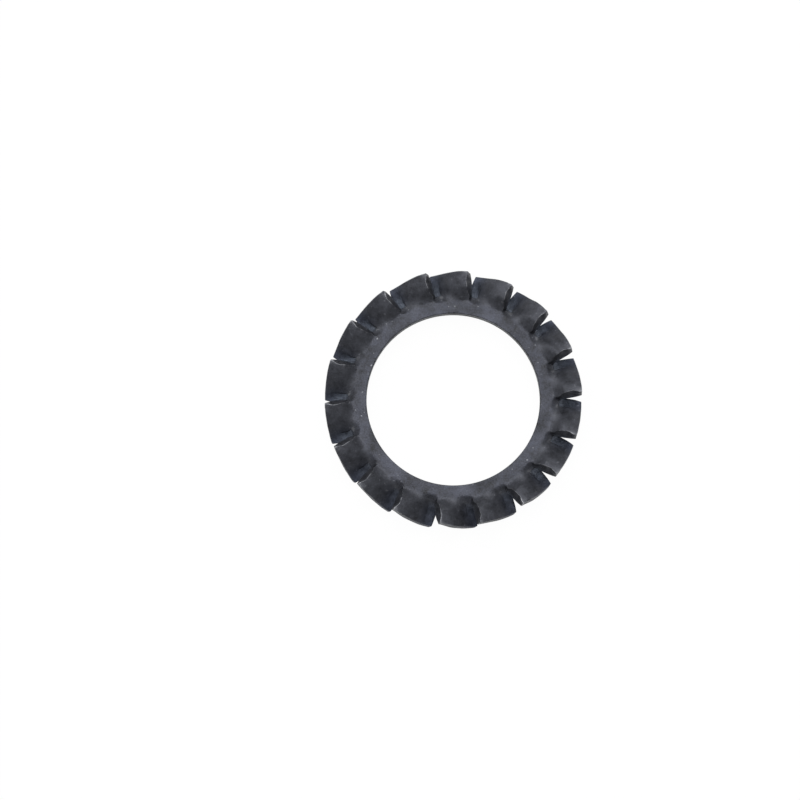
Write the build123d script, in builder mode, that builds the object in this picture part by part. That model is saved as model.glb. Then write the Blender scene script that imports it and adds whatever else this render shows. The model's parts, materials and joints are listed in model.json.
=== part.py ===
from build123d import *
import math
import os

# Toothed lock washer for an M16 screw, stamped from one piece of spring steel.
# A flat ring carries teeth round its rim. Slits part them, and each tooth is twisted about
# its own radial line, so one edge stands above the ring and the other below it.
# The origin is the bore's centre at half the sheet's thickness, and +Z is the bore's axis.

bore_diameter = 17.4
ring_width = 1.4
tooth_length = 2.8
sheet_thickness = 1.2
overall_height = 3.65

tooth_count = 18
first_tooth_angle = 10.8

# The gap between two teeth as seen from above, at its root and at the rim.
slit_width = 0.1
slit_mouth = 0.42

# Slope of a tooth's two edges to the plane of the ring, at the rim. Between them it is steeper.
edge_slope = 21.0

# Bevel on the two rims of the bore.
bore_bevel = 0.15

# Where a tooth's sections stand between the slit's root, 0, and the rim, 1, with one beyond
# it to be cut back, and the place from which on the twist is full.
section_places = (0.0, 0.15, 0.35, 0.7, 1.1)
full_twist_place = 0.7

root_radius = bore_diameter / 2 + ring_width
rim_radius = root_radius + tooth_length
half_pitch = math.pi / tooth_count

# How far a tooth's edges stand above and below the ring at the rim, measured at the middle of the
# sheet, and their slope there.
edge_tangent = math.tan(math.radians(edge_slope))
edge_height = (overall_height - sheet_thickness * math.cos(math.radians(edge_slope))) / 2


def half_width_in_plan(place):
    """Half of what a tooth covers as seen from above. The gap opens with the square of the place."""
    root_pitch = root_radius * math.tan(half_pitch)
    rim_pitch = rim_radius * half_pitch
    gap = slit_width + (slit_mouth - slit_width) * place**2
    return root_pitch + (rim_pitch - root_pitch) * place - gap / 2


def twist(place):
    """Share of the full twist. It rises from none at the slit's root as a quarter circle does."""
    left = max(1 - place / full_twist_place, 0)
    return math.sqrt(1 - left**2)


def face_line(place, side):
    """Bezier points of a tooth's upper (side 1) or lower (side -1) face line.

    The section's middle line is height = middle_slope * x - curl * x^3. It reaches its share of
    edge_height and of the edge's slope at its ends. The face lies half a sheet from it, square
    to it, and the Bezier curve takes the face's ends and its direction and speed there.
    """
    end_height = twist(place) * edge_height
    end_slope = twist(place) * edge_tangent
    end_length = math.hypot(1, end_slope)
    half_width = half_width_in_plan(place) - sheet_thickness / 2 * end_slope / end_length
    middle_slope = (3 * end_height / half_width - end_slope) / 2
    curl = (middle_slope - end_slope) / (3 * half_width**2)
    reach = side * sheet_thickness / 2 / end_length
    first = (-half_width - reach * end_slope, -end_height + reach)
    last = (half_width - reach * end_slope, end_height + reach)
    pulls = []
    for x in (-half_width, half_width):
        bend = -6 * curl * x
        pulls.append(2 * half_width / 3 * (1 - side * sheet_thickness / 2 * bend / end_length**3))
    return (
        first,
        (first[0] + pulls[0], first[1] + pulls[0] * end_slope),
        (last[0] - pulls[1], last[1] - pulls[1] * end_slope),
        last,
    )


# One tooth, lofted along +X through its twisted sections, and cut to the rim.
# A section's x runs clockwise as seen from +Z, so the clockwise edge is the raised one.
with BuildPart() as tooth:
    for place in section_places:
        reach_out = root_radius + place * tooth_length
        with BuildSketch(Plane(origin=(reach_out, 0, 0), x_dir=(0, -1, 0), z_dir=(-1, 0, 0))):
            with BuildLine():
                upper = face_line(place, 1)
                lower = face_line(place, -1)
                Bezier(*lower)
                Line(lower[-1], upper[-1])
                Bezier(*upper)
                Line(upper[0], lower[0])
            make_face()
    loft(ruled=True)
    Cylinder(rim_radius, 2 * overall_height, mode=Mode.INTERSECT)

# The ring. Its outside has one flat for each tooth, where that tooth's root meets it.
with BuildPart() as washer:
    with BuildSketch(Plane.XY.offset(-sheet_thickness / 2)):
        RegularPolygon(
            root_radius, tooth_count, major_radius=False, rotation=first_tooth_angle + 180 / tooth_count
        )
        Circle(bore_diameter / 2, mode=Mode.SUBTRACT)
    extrude(amount=sheet_thickness)
    bore_rims = edges().filter_by(GeomType.CIRCLE)
    chamfer(bore_rims, bore_bevel)
    with PolarLocations(0, tooth_count, start_angle=first_tooth_angle):
        add(tooth.part)

washer.part.label = "toothed_washer"
os.makedirs("parts", exist_ok=True)
export_step(washer.part, "parts/toothed_washer.step")
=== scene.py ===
import bpy
import json
import math
import numpy as np
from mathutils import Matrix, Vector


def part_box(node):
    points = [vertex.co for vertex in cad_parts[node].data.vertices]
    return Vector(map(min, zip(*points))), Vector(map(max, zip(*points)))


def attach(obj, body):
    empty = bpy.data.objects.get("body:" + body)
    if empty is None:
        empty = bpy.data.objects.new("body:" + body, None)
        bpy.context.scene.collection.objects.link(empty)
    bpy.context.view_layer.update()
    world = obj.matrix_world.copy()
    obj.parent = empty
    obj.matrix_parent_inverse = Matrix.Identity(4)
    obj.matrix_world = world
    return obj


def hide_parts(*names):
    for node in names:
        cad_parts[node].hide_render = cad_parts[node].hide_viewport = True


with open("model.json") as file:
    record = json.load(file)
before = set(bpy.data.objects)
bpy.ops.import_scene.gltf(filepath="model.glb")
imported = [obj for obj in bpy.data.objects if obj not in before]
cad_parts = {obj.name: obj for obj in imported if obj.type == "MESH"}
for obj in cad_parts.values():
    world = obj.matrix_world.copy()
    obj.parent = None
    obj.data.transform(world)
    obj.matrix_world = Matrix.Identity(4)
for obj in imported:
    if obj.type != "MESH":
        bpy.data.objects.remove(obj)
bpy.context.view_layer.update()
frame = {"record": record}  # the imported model, in metres, +Z along the bore's axis
mm = 0.001
lowCorner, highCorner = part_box("toothed_washer")
boreMount = next(m for m in frame["record"]["mounts"] if m["name"] == "bore")
print("frame loaded")

# The washer, in millimetres and degrees. Its reach, height and bore come from the frame.
washer = {
    "teeth": 18,
    "firstTooth": 10.8,
    "rimRadius": highCorner.x / mm,
    "height": (highCorner.z - lowCorner.z) / mm,
    "boreRadius": boreMount["dims"]["r_mm"],
    "rootRadius": 10.1,
    "sheet": 1.2,
    "slit": 0.02,
    "slitMouth": 0.45,
    "mouthStart": 11.1,
    "mouthCurve": 1.2,
    "overlap": 0.42,  # how far a raised edge reaches over the next lowered one, seen from above
    "overlapRun": (-0.1, 0.4),  # where it grows, counted outwards from the slits' roots
    "edgeSlope": 17.0,
    "slopeLead": 1.4,  # the edges get their slope this many times sooner than their height
    "middleRise": 1.5,  # slope at a section's middle, where 1 is a straight line between its ends
    "lean": 0.24,  # further lean of the cut faces, as a share of the sheet
    "rimStart": 11.9,  # from here to the rim the edges lose these shares of their slope and lean
    "rimFlattening": 0.4,
    "rimUprighting": 0.9,
    "twistStart": 9.8,  # the radius where the sheet starts to twist, inside the slits' roots
    "twistKnee": 11.3,  # and where most of the twist is done
    "kneeShare": 0.88,
    "startSpread": 0.15,  # a face starts to twist this much further out on its raised side, and
    "kneeSpread": 0.1,  # is through with most of it this much further out, than in the middle
    "sideShare": 1.3,  # how soon the way across a face counts as one of its sides
    "rounding": 0.07,
    "boreRounding": 0.1,
    "stripWidth": 1.0,  # the strip that the punch pressed in along one edge of each face
    "stripBorder": (-0.05, 0.1),  # where its depth fades, counted from its width
    "stripStart": 10.5,
    "stripSink": 0.15,  # how far out from its start it has its full depth
    "stripHold": 0.4,  # and how far out it begins to lose it again
    "stripEnd": 12.5,
    "stripDepth": 0.12,
    "spur": 0.01,  # how far the raised part of a tooth reaches past the rest
    "spurRun": (0.25, 0.6),  # where it starts and is full, from a tooth's middle at 0 to its edge
    "tipLength": 0.16,  # size of the worn tips, as a share of a tooth's length and in mm
    "tipWidth": 0.35,
    "seamPower": 18,  # the ring's swellings stay full up to a tooth's sides beside the roots,
    "seamReach": 0.15,  # and round off between the teeth from about this far in
    "seamFade": 0.25,
    "dentDepth": 0.012,
    "dentLength": 1.6,
    "dentWaves": 40,
    "dentFade": 0.4,  # beside the bore, which stays round
    "acrossSteps": 40,
    "crowding": 0.1,  # draws the columns of the mesh towards a tooth's edges
    "alongSteps": 26,
    "ringSteps": 14,
    "wallSteps": 5,
    "cutSteps": 8,
    "arcSteps": 4,
    "seed": 7,
    # How single teeth depart from the rule. The numbers run clockwise from the first tooth, and a
    # slot and its strip go by the tooth whose raised edge they follow.
    "widerSlots": {
        2: 0.16,  # mm at the rim
        3: 0.16,
        4: -0.45,
        5: 0.2,
        6: -0.35,
        7: -0.16,
        11: -0.1,
        13: -0.3,
        14: 0.1,
        15: -0.05,
    },
    "shiftedSlots": {0: 0.03, 1: 0.03, 2: -0.03, 5: -0.2, 14: -0.04},  # mm at the rim, clockwise
    "wornCorners": {3: 0.14, 5: 0.16, 6: 0.14},  # mm that a raised corner has lost of its reach
    "fainterStrips": {3: 0.4, 4: 0.3, 5: 0.25, 6: 0.35, 7: 0.6},  # share of the full depth
}


# The smooth step: 0 below low, 1 above high, t*t*(3-2t) between them.
def smoothStep(low, high, value):
    t = np.clip((value - low) / (high - low), 0, 1)
    return t * t * (3 - 2 * t)


# Ripple: the sum of sine waves that run in random directions, about -1 to 1 high. Their lengths
# are 0.7 to 1.5 of the wavelength.
def ripple(points, wavelength, count, seed):
    rng = np.random.default_rng(seed)
    directions = rng.normal(size=(count, 3))
    directions /= np.linalg.norm(directions, axis=1)[:, None]
    lengths = wavelength * rng.uniform(0.7, 1.5, count)
    waves = points @ (2 * math.pi * directions / lengths[:, None]).T
    return np.sin(waves + rng.uniform(0, 2 * math.pi, count)).sum(1) / math.sqrt(count)


# Places across a tooth, from -1 to 1, closer together towards its edges: t + c*sin(pi*t).
def acrossPlaces(w):
    even = np.linspace(-1, 1, w["acrossSteps"])
    return even + w["crowding"] * np.sin(math.pi * even)


# The loop round a tooth's section, as a rounded rectangle: place along the middle line (-1 to 1),
# how far it goes round the end's arc, share of the half thickness, and share of the arc across.
# It starts and ends at the middle of the lowered edge, so that number i lies opposite -1-i.
def sectionLoop(w):
    across = acrossPlaces(w)
    flat = np.linspace(1, -1, w["cutSteps"])
    turn = np.linspace(0, math.pi / 2, w["arcSteps"] + 1)[1:-1]
    back = turn[::-1]
    half = w["cutSteps"] // 2
    ones = np.ones_like
    rows = [
        (-ones(flat[:half]), -ones(flat[:half]), flat[:half][::-1], 0 * flat[:half]),
        (-ones(back), -np.sin(back), ones(back), np.cos(back)),
        (across, 0 * across, ones(across), ones(across)),
        (ones(turn), np.sin(turn), ones(turn), np.cos(turn)),
        (ones(flat), ones(flat), flat, 0 * flat),
        (ones(back), np.sin(back), -ones(back), -np.cos(back)),
        (across[::-1], 0 * across, -ones(across), -ones(across)),
        (-ones(turn), -np.sin(turn), -ones(turn), -np.cos(turn)),
        (-ones(flat[half:]), -ones(flat[half:]), flat[half:][::-1], 0 * flat[half:]),
    ]
    return [np.concatenate(column) for column in zip(*rows)]


# Twist: a smooth step up to the knee's share, and the rest evenly from the start out to the rim.
# The way across a face, from its lowered side at -1 to its raised side at 1, moves start and knee.
def twistShare(w, radius, across):
    start = w["twistStart"] + w["startSpread"] * across
    even = np.clip((radius - start) / (w["rimRadius"] - start), 0, 1)
    stepped = smoothStep(start, w["twistKnee"] + w["kneeSpread"] * across, radius)
    return w["kneeShare"] * stepped + (1 - w["kneeShare"]) * even


# Gap between two teeth, in plan: the slit's width at the root, less than none where the edges
# overlap, then wider as the distance past the mouth's start to a power.
def plannedGap(w, radius):
    past = np.maximum(radius - w["mouthStart"], 0) / (w["rimRadius"] - w["mouthStart"])
    covered = smoothStep(*w["overlapRun"], radius - w["rootRadius"])
    widened = (w["slitMouth"] + w["overlap"]) * past ** w["mouthCurve"]
    return w["slit"] - (w["slit"] + w["overlap"]) * covered + widened


# What is different about one tooth, looked up for its raised edge and for its lowered one, which
# lies on the slot of the tooth before it.
def toothQuirk(w, number):
    before = (number - 1) % w["teeth"]
    return {
        "raisedSlot": w["widerSlots"].get(number, 0),
        "loweredSlot": w["widerSlots"].get(before, 0),
        "raisedShift": w["shiftedSlots"].get(number, 0),
        "loweredShift": w["shiftedSlots"].get(before, 0),
        "worn": w["wornCorners"].get(number, 0),
        "strip": w["fainterStrips"].get(before, 1.0),
    }


# A tooth, in its own frame: X outwards, Y counter-clockwise, Z up. The middle line of a section is
# z = h*(a*q + b*q^3 + c*q^5), where q runs from -1 to 1, a is the rise at the middle, and b and c
# give it the edge's height and slope at its ends. The faces lie half the sheet from it, square to
# it. Each row is pulled out from the flat root to the rim's circle, and the last rows shrink round
# the rim's edge. The marks tell the material where a point lies: its radius, how far it is from
# its face's lowered side, how deep its strip is, and its share of cut face, edge and tip.
def toothPoints(w, quirk):
    place, end, flat, arc = sectionLoop(w)
    halfPitch = math.pi / w["teeth"]
    tangent = math.tan(math.radians(w["edgeSlope"]))
    rimTilt = math.atan((1 - w["rimFlattening"]) * tangent)
    edgeHeight = (w["height"] - w["sheet"] * math.cos(rimTilt)) / 2
    # rows from the root to the rim, and then round the rim's edge
    theta = np.linspace(0, math.pi / 2, w["arcSteps"] + 1)[1:]
    body = np.zeros(w["alongSteps"] + 1)
    u = np.concatenate([np.linspace(0, 1, len(body)), np.ones(len(theta))])[:, None]
    shrink = np.concatenate([body, 1 - np.cos(theta)])[:, None] * w["rounding"]
    pushOut = np.concatenate([body, np.sin(theta)])[:, None] * w["rounding"]
    rimEdge = np.concatenate([body, np.sin(2 * theta)])[:, None]
    rowRadius = w["rootRadius"] + u * (w["rimRadius"] - w["rootRadius"])
    # height, slope and width of each row's section
    rise = twistShare(w, rowRadius, np.clip(place * flat * w["sideShare"], -1, 1)) * edgeHeight
    evenShare = twistShare(w, rowRadius, 0)
    nearRim = smoothStep(w["rimStart"], w["rimRadius"], rowRadius)
    endSlope = np.minimum(evenShare * w["slopeLead"], 1) * tangent
    endSlope = endSlope * (1 - w["rimFlattening"] * nearRim)
    endLength = np.sqrt(1 + endSlope**2)
    lean = w["lean"] * evenShare * (1 - w["rimUprighting"] * nearRim)
    raisedEnd = (quirk["raisedShift"] - quirk["raisedSlot"] / 2) * u**2
    loweredEnd = (quirk["loweredShift"] + quirk["loweredSlot"] / 2) * u**2
    pitchHalf = rowRadius * (halfPitch * u + math.tan(halfPitch) * (1 - u))
    planHalf = pitchHalf - plannedGap(w, rowRadius) / 2 + (raisedEnd - loweredEnd) / 2
    halfWidth = planHalf - w["sheet"] / 2 * (endSlope / endLength + lean)
    # the middle line
    first = w["middleRise"]
    third = (5 - 4 * first - endSlope * halfWidth / (evenShare * edgeHeight)) / 2
    fifth = 1 - first - third
    radius = w["rounding"] - shrink
    x = place * (halfWidth - (shrink + radius) / endLength) + end * radius / endLength
    q = x / halfWidth
    height = rise * (first * q + third * q**3 + fifth * q**5)
    slope = rise / halfWidth * (first + 3 * third * q**2 + 5 * fifth * q**4)
    length = np.sqrt(1 + slope**2)
    # the pressed strip thins the sheet from above at the lowered edge, from below at the raised one
    sunk, held = w["stripStart"] + w["stripSink"], w["stripStart"] + w["stripHold"]
    dip = smoothStep(w["stripStart"], sunk, rowRadius) * w["stripDepth"]
    dip = dip * (1 - smoothStep(held, w["stripEnd"], rowRadius))
    strip = 1 - smoothStep(*w["stripBorder"], halfWidth - np.abs(x) - w["stripWidth"])
    upper = w["sheet"] / 2 - np.where(x < 0, strip * dip * quirk["strip"], 0)
    lower = w["sheet"] / 2 - np.where(x > 0, strip * dip, 0)
    # the faces, and the cut faces with their rounded edges
    above, below = upper - shrink - radius, lower - shrink - radius
    n = np.where(flat > 0, flat * above, flat * below) + arc * radius
    n = np.where(end**2 >= 1, (1 + flat) / 2 * above - (1 - flat) / 2 * below, n)
    side = x - n * slope / length - n * lean * q**6 + (raisedEnd + loweredEnd) / 2
    z = height + n / length
    # how far out each row lies
    drawnIn = w["spur"] * (1 - smoothStep(*w["spurRun"], q)) + quirk["worn"] * smoothStep(0, 1, q)
    outer = np.sqrt((w["rimRadius"] - w["rounding"] - drawnIn + pushOut) ** 2 - side**2)
    out = w["rootRadius"] + u * (outer - w["rootRadius"])
    points = np.stack([out, -side, z], axis=2)
    shape = points.shape[:2]
    fromTip = ((u - 1) / w["tipLength"]) ** 2 + ((np.abs(x) - halfWidth) / w["tipWidth"]) ** 2
    marks = {
        "radius": np.broadcast_to(rowRadius, shape),
        "inset": halfWidth + x * flat,
        "pressed": np.full(shape, quirk["strip"]),
        "cut": np.broadcast_to(np.abs(end) >= 1, shape) * 1.0,
        "edge": np.maximum(((np.abs(end) > 0) & (np.abs(end) < 1)) * 1.0, rimEdge),
        "tip": np.exp(-fromTip) * (x * flat > 0),
    }
    return points, marks


# Points at a radius, an angle and a height: x = r*cos(a), y = r*sin(a).
def roundAxis(radius, angle, height):
    parts = np.broadcast_arrays(radius * np.cos(angle), radius * np.sin(angle), height)
    return np.stack(parts, axis=2)


# The ring below one tooth's root: rows run from the root to the bore, round its rim, down its wall
# and back out on the underside. What the twist lifts at the root fades inwards as the twist does,
# and towards the tooth's sides as 1 - |t|^power, so that it meets its neighbours.
def ringPoints(w, rootTop, rootBottom):
    fade = np.linspace(0, 1, w["ringSteps"] + 1)[1:, None]
    theta = np.linspace(0, math.pi / 2, w["arcSteps"] + 2)[1:, None]
    down = np.linspace(0, 1, w["wallSteps"] + 1)[1:-1, None]
    lip = w["boreRadius"] + w["boreRounding"]
    flatHalf = w["sheet"] / 2 - w["boreRounding"]
    place = acrossPlaces(w)

    def oneSide(root, side):
        angle = np.arctan2(root[:, 1], root[:, 0])
        rootOut = np.hypot(root[:, 0], root[:, 1])
        out = rootOut + (lip - rootOut) * fade
        inside = rootOut - out
        across = np.clip(place * side * w["sideShare"], -1, 1)
        rootShare = twistShare(w, w["rootRadius"], across)
        share = twistShare(w, w["rootRadius"] - inside, across) / np.maximum(rootShare, 0.001)
        power = 2 + w["seamPower"] * np.exp(-inside / w["seamReach"])
        calmed = np.abs(place) ** power * smoothStep(0, w["seamFade"], inside)
        lift = (root[:, 2] - side * w["sheet"] / 2) * share * (1 - calmed)
        flatPart = roundAxis(out, angle, side * w["sheet"] / 2 + lift)
        arcOut = lip - w["boreRounding"] * np.sin(theta)
        arcHeight = side * (flatHalf + w["boreRounding"] * np.cos(theta))
        return np.concatenate([flatPart, roundAxis(arcOut, angle, arcHeight)]), angle

    upper, angle = oneSide(rootTop, 1)
    lower, lowerAngle = oneSide(rootBottom, -1)
    wallAngle = angle + (lowerAngle - angle) * down
    wall = roundAxis(w["boreRadius"], wallAngle, flatHalf * (1 - 2 * down))
    return np.concatenate([upper, wall, lower[::-1]])


# Quads of a grid of vertex numbers. They face the side from which the rows run up and the columns
# run to the left.
def gridQuads(numbers):
    a, b = numbers[:-1, :-1], numbers[1:, :-1]
    c, d = numbers[1:, 1:], numbers[:-1, 1:]
    return np.stack([a, b, c, d], axis=2).reshape(-1, 4)


# Normals at the vertices, from the cross products of the quads' diagonals.
def vertexNormals(points, quads):
    corners = points[quads]
    faceNormals = np.cross(corners[:, 2] - corners[:, 0], corners[:, 3] - corners[:, 1])
    normals = np.zeros_like(points)
    for corner in range(4):
        np.add.at(normals, quads[:, corner], faceNormals)
    return normals / np.maximum(np.linalg.norm(normals, axis=1), 1e-12)[:, None]


# The whole washer: each tooth and its part of the ring, turned to its place, and the quads that
# join them to the next ones.
def buildWasher(w):
    teeth, marks, rings = [], [], []
    end, flat = sectionLoop(w)[1:3]
    top = np.where((end == 0) & (flat > 0))[0]
    bottom = np.where((end == 0) & (flat < 0))[0][::-1]
    for number in range(w["teeth"]):
        points, mark = toothPoints(w, toothQuirk(w, number))
        ring = ringPoints(w, points[0][top], points[0][bottom])
        angle = math.radians(w["firstTooth"] - 360 / w["teeth"] * number)
        cosine, sine = math.cos(angle), math.sin(angle)
        turn = np.array([[cosine, -sine, 0], [sine, cosine, 0], [0, 0, 1]])
        teeth.append(points @ turn.T)
        rings.append(ring @ turn.T)
        marks.append(mark)
    teeth, rings = np.array(teeth), np.array(rings)
    loop = teeth.shape[2]
    numbers = np.arange(teeth.size // 3).reshape(teeth.shape[:3])
    ringNumbers = numbers.size + np.arange(rings.size // 3).reshape(rings.shape[:3])
    quads = []
    for number in range(w["teeth"]):
        nextNumber = (number + 1) % w["teeth"]
        mine, following = numbers[number], numbers[nextNumber][0]
        # the tooth's skin, and its end at the rim
        closed = np.concatenate([mine, mine[:, :1]], axis=1)
        quads.append(gridQuads(closed.T[::-1].T))
        quads.append(gridQuads(np.stack([mine[-1][::-1], mine[-1]])[:, : loop // 2]))
        # the ring under this tooth and on to the next one's first column
        stack = np.concatenate([[mine[0][top]], ringNumbers[number], [mine[0][bottom]]])
        nextRing = ringNumbers[nextNumber][:, 0]
        nextColumn = np.concatenate([following[top[:1]], nextRing, following[bottom[:1]]])
        quads.append(gridQuads(np.concatenate([stack, nextColumn[:, None]], axis=1)))
        # the wall at the slit's root, between two teeth
        raised = mine[0][top[-1] : bottom[-1] + 1]
        lowered = np.concatenate([following[: top[0] + 1][::-1], following[bottom[0] :][::-1]])
        quads.append(gridQuads(np.stack([raised, lowered])))
    values = {}
    for name in marks[0]:
        onTeeth = np.concatenate([mark[name].reshape(-1) for mark in marks])
        values[name] = np.concatenate([onTeeth, np.zeros(ringNumbers.size)])
    values["radius"][numbers.size :] = np.hypot(rings[..., 0], rings[..., 1]).reshape(-1)
    points = np.concatenate([teeth.reshape(-1, 3), rings.reshape(-1, 3)])
    return points, np.concatenate(quads), values


# Shallow dents: ripple, along the normals. No point leaves the CAD part's rim and height.
def dentedPoints(w, points, quads, radius):
    dents = ripple(points, w["dentLength"], w["dentWaves"], w["seed"]) * w["dentDepth"]
    dents = dents * smoothStep(w["boreRadius"], w["boreRadius"] + w["dentFade"], radius)
    points = points + vertexNormals(points, quads) * dents[:, None]
    tooFar = np.hypot(points[:, 0], points[:, 1]) / w["rimRadius"]
    points[:, :2] /= np.maximum(tooFar, 1)[:, None]
    points[:, 2] = np.clip(points[:, 2], -w["height"] / 2, w["height"] / 2)
    return points


def addObject(name, data):
    made = bpy.data.objects.new(name, data)
    bpy.context.scene.collection.objects.link(made)
    return made


# Points in mm and quads become a smooth mesh, and each mark an attribute of its points.
def makeMesh(name, points, quads, values):
    mesh = bpy.data.meshes.new(name)
    mesh.from_pydata((points * mm).tolist(), [], quads.tolist())
    for key, value in values.items():
        attribute = mesh.attributes.new(key, "FLOAT", "POINT")
        attribute.data.foreach_set("value", value.astype(np.float32))
    mesh.polygons.foreach_set("use_smooth", np.ones(len(quads), bool))
    mesh.update()
    return addObject(name, mesh)


points, quads, values = buildWasher(washer)
points = dentedPoints(washer, points, quads, values["radius"])
piece = makeMesh("washerDressed", points, quads, values)
print("washer:", len(points), "points", len(quads), "quads")


# One output socket of a shader tree, so that shader maths reads as Python.
class Wire:
    def __init__(self, tree, socket=None):
        self.tree, self.socket = tree, socket

    # Adds a node: first its settings, then the values or wires of its sockets.
    def node(self, kind, settings, sockets, output=0):
        made = self.tree.nodes.new(kind)
        for name, value in settings.items():
            setattr(made, name, value)
        for key, value in sockets.items():
            if isinstance(value, Wire):
                self.tree.links.new(value.socket, made.inputs[key])
            else:
                made.inputs[key].default_value = value
        return Wire(self.tree, made.outputs[output] if made.outputs else None)

    def maths(self, operation, first, second=0.0, clamp=False):
        settings = {"operation": operation, "use_clamp": clamp}
        return self.node("ShaderNodeMath", settings, {0: first, 1: second})

    def __add__(self, other):
        return self.maths("ADD", self, other)

    def __sub__(self, other):
        return self.maths("SUBTRACT", self, other)

    def __mul__(self, other):
        return self.maths("MULTIPLY", self, other)

    def __truediv__(self, other):
        return self.maths("DIVIDE", self, other)

    def __pow__(self, other):
        return self.maths("POWER", self, other)

    def __rsub__(self, other):
        return self.maths("SUBTRACT", other, self)

    __radd__, __rmul__ = __add__, __mul__

    def clamped(self):
        return self.maths("ADD", self, 0.0, True)

    # A mask of 0 to 1 becomes a number that goes from one value to the other.
    def between(self, atNone, atFull):
        return atNone + self * (atFull - atNone)

    # A smooth step from 0 at low to 1 at high.
    def ramp(self, low, high):
        settings = {"interpolation_type": "SMOOTHSTEP"}
        return self.node("ShaderNodeMapRange", settings, {0: self, 1: low, 2: high, 3: 0.0, 4: 1.0})

    def colour(self, factor, first, second):
        return self.node("ShaderNodeMix", {"data_type": "RGBA"}, {0: factor, 6: first, 7: second}, 2)


# Empties the nodes of a material or a world, and gives a wire to start from.
def emptyTree(owner):
    owner.use_nodes = True
    owner.node_tree.nodes.clear()
    return Wire(owner.node_tree)


# The black phosphate finish: grain and mottling, worn edges and tips, sheared faces and the pressed
# strips, with painted light and shade on the ring, by height, on the bore's wall, the strips, their
# creases and crests.
# Lengths are in mm. A noise has its size and its detail, a run the start and end of a ramp.
finish = {
    # painted shade: the ring is painted darker than the teeth, to offset the highlight on its flat
    # face
    "ringColour": (0.026, 0.028, 0.037, 1),
    # painted light: lowered parts darker and bluer, raised parts greyer, in place of the light and
    # reflections that reach them
    "lowColour": (0.0255, 0.0318, 0.0505, 1),
    "highColour": (0.041, 0.0432, 0.0525, 1),
    "heightRun": (-1.1, 0.5),  # from the low colour to the high one
    "rootRun": (-0.35, 0.35),  # from ring to tooth, counted outwards from the slits' roots
    # painted light: the bore's wall is painted lighter, in place of light from below
    "wallColour": (0.060, 0.063, 0.070, 1),
    "wallRun": (0.01, 0.06),  # from the bore's wall to the ring
    "cutColour": (0.031, 0.032, 0.037, 1),
    "cutRun": (0.4, 0.6),
    "grooveWidth": 0.07,  # the fine grooves of the cut faces and the strips
    "grooveLength": 1.5,
    "grooveNoise": (1.0, 2.0),
    # painted light: the strips are painted lighter and bluer, in place of the light that their flat
    # faces catch
    "stripColour": (0.084, 0.097, 0.124, 1),
    "stripRun": (0.35, 0.6),
    "stripShare": 0.45,  # how much of its colour a strip has where its grooves are weakest
    "stripBorder": 0.04,
    "stripSink": 0.1,
    "stripFade": 11.3,  # the radius from which a strip fades to its end
    # painted shade: a dark line along each strip's border, where its crease lies in shade
    "creaseColour": (0.012, 0.013, 0.018, 1),
    "creaseShare": 0.35,
    "creaseRun": (-0.06, 0.02),  # its inner side, counted from the strip's border
    "creaseEnd": (0.04, 0.24),  # and its outer side
    # painted highlight: a light spot at the corner where each strip starts, the crest
    "crestInside": 0.06,  # the crest lies this far inside the strip's start
    "crestLength": 0.24,
    "crestWidth": 0.3,
    "crestRun": (0.05, 0.2),
    # the worn colour is real wear on edges, tips and specks, and also the crest's painted highlight
    "wornColour": (0.22, 0.225, 0.24, 1),
    "wornRun": (0.36, 0.6),  # how patchy the wear is
    "edgeWear": 0.15,
    "highEdgeWear": 0.4,  # further wear of the edges this far above and below the ring's middle
    "highEdge": 1.8,
    "tipEdgeWear": 1.2,
    "tipWear": 0.25,
    "crestWear": 0.4,
    "speckRun": (0.77, 0.84),
    "ringSpecks": 0.5,
    "toothSpecks": 0.2,
    "grainNoise": (0.16, 3.0),
    "mottleNoise": (0.6, 3.0),
    "cloudNoise": (2.4, 2.0),
    "swellNoise": (1.1, 1.0),
    "speckNoise": (0.3, 0.0),
    "noiseRoughness": 0.6,
    "ringGrain": 2.6,  # how strongly grain, clouds and mottling change the tone
    "toothGrain": 1.0,
    "ringCloud": 3.0,
    "toothCloud": 0.6,
    "mottleTone": 1.2,
    "metallic": 0.62,
    "roughness": 0.48,
    "mottleRough": 0.35,
    "grainRough": 0.2,
    "reliefStep": 0.022,
    "grainRelief": 0.8,
    "mottleRelief": 0.7,
    "swellRelief": 1.6,
    "stripRelief": 2.0,
}
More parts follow.
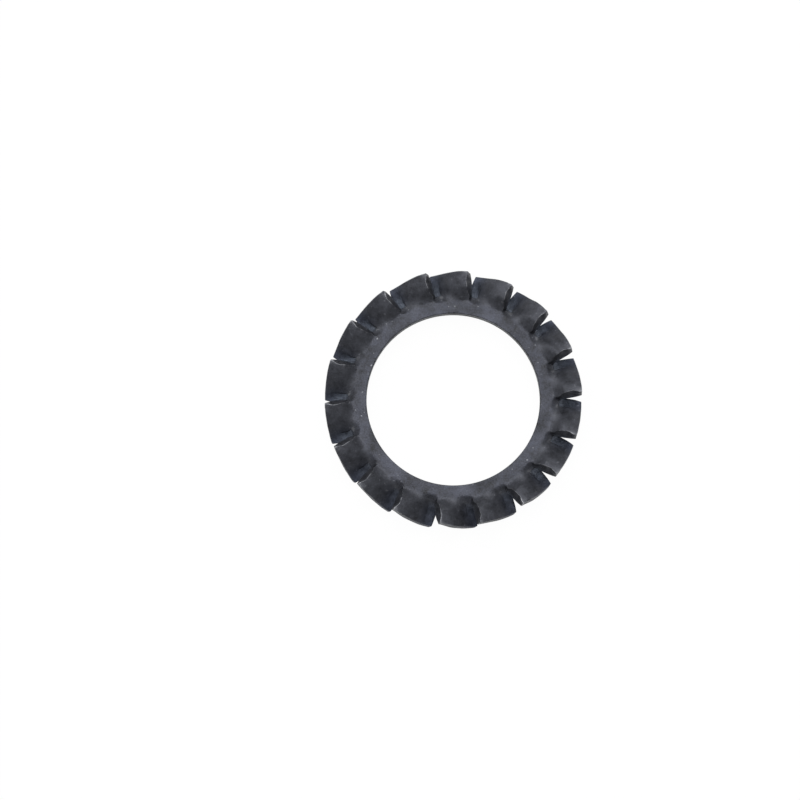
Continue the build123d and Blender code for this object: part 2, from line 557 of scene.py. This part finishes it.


# The material reads the washer's marks. Each finish is mixed over the one before it, and noise then
# darkens or lightens the whole. Painted light and shade are among them: the ring's darker colour,
# the colour by height, the lighter bore wall, the lighter strips, the dark lines at their creases
# and the crests' highlights.
def steelMaterial(f, w):
    material = bpy.data.materials.new("phosphatedSteel")
    start = emptyTree(material)
    place = start.node("ShaderNodeTexCoord", {}, {}, 3)
    heightHere = start.node("ShaderNodeSeparateXYZ", {}, {0: place}, 2) * (1 / mm)

    def mark(name):
        return start.node("ShaderNodeAttribute", {"attribute_name": name}, {}, 2)

    def noise(size, detail, vector=place):
        sockets = {"Vector": vector, "Scale": 1 / (size * mm), "Detail": detail}
        return start.node("ShaderNodeTexNoise", {}, {**sockets, "Roughness": f["noiseRoughness"]})

    grain, mottle = noise(*f["grainNoise"]), noise(*f["mottleNoise"])
    cloud, swell = noise(*f["cloudNoise"]), noise(*f["swellNoise"])
    speck = noise(*f["speckNoise"])
    radius, inset, pressed = mark("radius"), mark("inset"), mark("pressed")
    cut, edge, tip = mark("cut"), mark("edge"), mark("tip")
    fromRoot = radius - w["rootRadius"]
    onTooth = fromRoot.ramp(*f["rootRun"])

    # the pressed strip with its painted light, the painted shade along its border and the painted
    # highlight of the crest at the corner between them
    fromBorder = inset - w["stripWidth"]
    along = radius.ramp(w["stripStart"], w["stripStart"] + f["stripSink"])
    along = along * (1 - radius.ramp(f["stripFade"], w["stripEnd"])) * pressed
    strip = (1 - fromBorder.ramp(-f["stripBorder"], f["stripBorder"])) * along
    crease = fromBorder.ramp(*f["creaseRun"]) * (1 - fromBorder.ramp(*f["creaseEnd"])) * along
    crestOut = (radius - (w["stripStart"] - f["crestInside"])) / f["crestLength"]
    fromCrest = crestOut**2.0 + (fromBorder / f["crestWidth"]) ** 2.0
    crest = (1 - fromCrest).clamped() * fromRoot.ramp(*f["crestRun"]) * pressed
    across, outwards = inset * (mm / f["grooveWidth"]), radius * (mm / f["grooveLength"])
    grooves = start.node("ShaderNodeCombineXYZ", {}, {0: across, 1: outwards})
    lines = noise(*f["grooveNoise"], grooves)

    # painted light: the colour goes by height, from the low colour to the high one
    body = start.colour(heightHere.ramp(*f["heightRun"]), f["lowColour"], f["highColour"])
    # painted shade: the ring's darker colour, blended into the teeth's colour outwards from the
    # roots
    body = start.colour(onTooth, f["ringColour"], body)
    # painted light on the strips, strongest on their grooves
    bright = strip * lines.ramp(*f["stripRun"]).between(f["stripShare"], 1.0)
    body = start.colour(bright.clamped(), body, f["stripColour"])
    # painted shade along the crease at the strip's border
    body = start.colour((crease * f["creaseShare"]).clamped(), body, f["creaseColour"])
    body = start.colour(cut * (1 - lines.ramp(*f["cutRun"])), body, f["cutColour"])
    # painted light on the bore's wall
    fromWall = radius - w["boreRadius"]
    body = start.colour(1 - fromWall.ramp(*f["wallRun"]), body, f["wallColour"])
    far = (heightHere / f["highEdge"]) ** 2.0
    worn = edge * (f["edgeWear"] + far * f["highEdgeWear"] + tip * f["tipEdgeWear"])
    # the crest's painted highlight is mixed in with the wear
    worn = (worn + tip * f["tipWear"] + crest * f["crestWear"]) * mottle.ramp(*f["wornRun"])
    specks = onTooth.between(f["ringSpecks"], f["toothSpecks"])
    worn = worn + speck.ramp(*f["speckRun"]) * specks
    body = start.colour(worn.clamped(), body, f["wornColour"])
    tone = 1 + (grain - 0.5) * onTooth.between(f["ringGrain"], f["toothGrain"])
    tone = tone + (mottle - 0.5) * f["mottleTone"]
    tone = tone + (cloud - 0.5) * onTooth.between(f["ringCloud"], f["toothCloud"])
    body = body.node("ShaderNodeVectorMath", {"operation": "SCALE"}, {0: body, 3: tone})

    relief = grain * f["grainRelief"] + mottle * f["mottleRelief"]
    relief = relief + swell * f["swellRelief"] - strip * f["stripRelief"]
    bumped = {"Strength": 1.0, "Distance": f["reliefStep"] * mm, "Height": relief}
    bump = start.node("ShaderNodeBump", {}, bumped)
    rough = f["roughness"] + (mottle - 0.5) * f["mottleRough"] + (grain - 0.5) * f["grainRough"]
    sockets = {"Base Color": body, "Metallic": f["metallic"], "Roughness": rough, "Normal": bump}
    surface = start.node("ShaderNodeBsdfPrincipled", {}, sockets)
    start.node("ShaderNodeOutputMaterial", {}, {"Surface": surface})
    return material


piece.data.materials.append(steelMaterial(finish, washer))
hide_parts("toothed_washer")
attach(piece, "root")
print("finish done")

# The studio, in metres: a white floor under the washer, a broad soft light above, a weaker one at
# the left and one behind.
studio = {
    "floorSize": 0.6,
    "floorWhite": 0.8,
    "floorGlow": 0.97,  # share of plain white in the floor as the camera sees it
    "fill": 0.53,  # light from all round
    "lights": [
        {"name": "overhead", "at": (0.0, 0.15, 0.48), "size": 0.45, "power": 2.7},
        {"name": "leftSide", "at": (-0.36, 0.22, 0.24), "size": 0.25, "power": 0.5},
        {"name": "backSide", "at": (0.2, 0.4, 0.28), "size": 0.3, "power": 0.35},
    ],
}


# The floor and the world are plain white to the camera, and light the washer as paint and fill do.
def buildStudio(s):
    white = (1, 1, 1, 1)
    paintWhite = (s["floorWhite"],) * 3 + (1,)
    half, z = s["floorSize"] / 2, lowCorner.z
    mesh = bpy.data.meshes.new("studioFloor")
    corners = [(-half, -half, z), (half, -half, z), (half, half, z), (-half, half, z)]
    mesh.from_pydata(corners, [], [(0, 1, 2, 3)])
    material = bpy.data.materials.new("floorWhite")
    start = emptyTree(material)
    seen = start.node("ShaderNodeLightPath", {}, {}, 0) * s["floorGlow"]
    paint = start.node("ShaderNodeBsdfDiffuse", {}, {"Color": paintWhite})
    glow = start.node("ShaderNodeEmission", {}, {"Color": white, "Strength": 1.0})
    mixed = start.node("ShaderNodeMixShader", {}, {0: seen, 1: paint, 2: glow})
    start.node("ShaderNodeOutputMaterial", {}, {"Surface": mixed})
    mesh.materials.append(material)
    floor = addObject("studioFloor", mesh)
    world = bpy.data.worlds.new("studioWorld")
    bpy.context.scene.world = world
    start = emptyTree(world)
    seen = start.node("ShaderNodeLightPath", {}, {}, 0)
    fill = start.node("ShaderNodeBackground", {}, {"Color": white, "Strength": s["fill"]})
    plain = start.node("ShaderNodeBackground", {}, {"Color": white, "Strength": 1.0})
    mixed = start.node("ShaderNodeMixShader", {}, {0: seen, 1: fill, 2: plain})
    start.node("ShaderNodeOutputWorld", {}, {"Surface": mixed})
    for entry in s["lights"]:
        data = bpy.data.lights.new(entry["name"], "AREA")
        data.size, data.energy = entry["size"], entry["power"]
        lamp = addObject(entry["name"], data)
        lamp.location = entry["at"]
        lamp.rotation_euler = (-lamp.location).to_track_quat("-Z", "Y").to_euler()


buildStudio(studio)

# The camera, at the photograph's angle: tilted a little towards the viewer, and aimed left of the
# washer. Distance in metres, tilt in degrees, aim and sensor in mm.
view = {
    "distance": 0.43,
    "tilt": 8.2,
    "pixelsPerMm": 9.96,
    "pictureWidth": 800,
    "aimLeft": 5.34,
    "aimUp": 0.0,
    "sensor": 36.0,
}


# The lens gives the scale at the aimed point: focal length = scale * distance * sensor / width.
def buildCamera(v):
    data = bpy.data.cameras.new("photoCamera")
    tilt = math.radians(v["tilt"])
    data.sensor_width = v["sensor"]
    data.lens = v["pixelsPerMm"] * v["distance"] / mm / v["pictureWidth"] * v["sensor"]
    data.clip_start, data.clip_end = 0.01, 5.0
    camera = addObject("photoCamera", data)
    camera.location = (
        -v["aimLeft"] * mm,
        v["aimUp"] * mm - v["distance"] * math.sin(tilt),
        v["distance"] * math.cos(tilt),
    )
    camera.rotation_euler = (tilt, 0, 0)
    bpy.context.scene.camera = camera


buildCamera(view)
bpy.context.scene.view_settings.view_transform = "Standard"
print("studio and camera done")
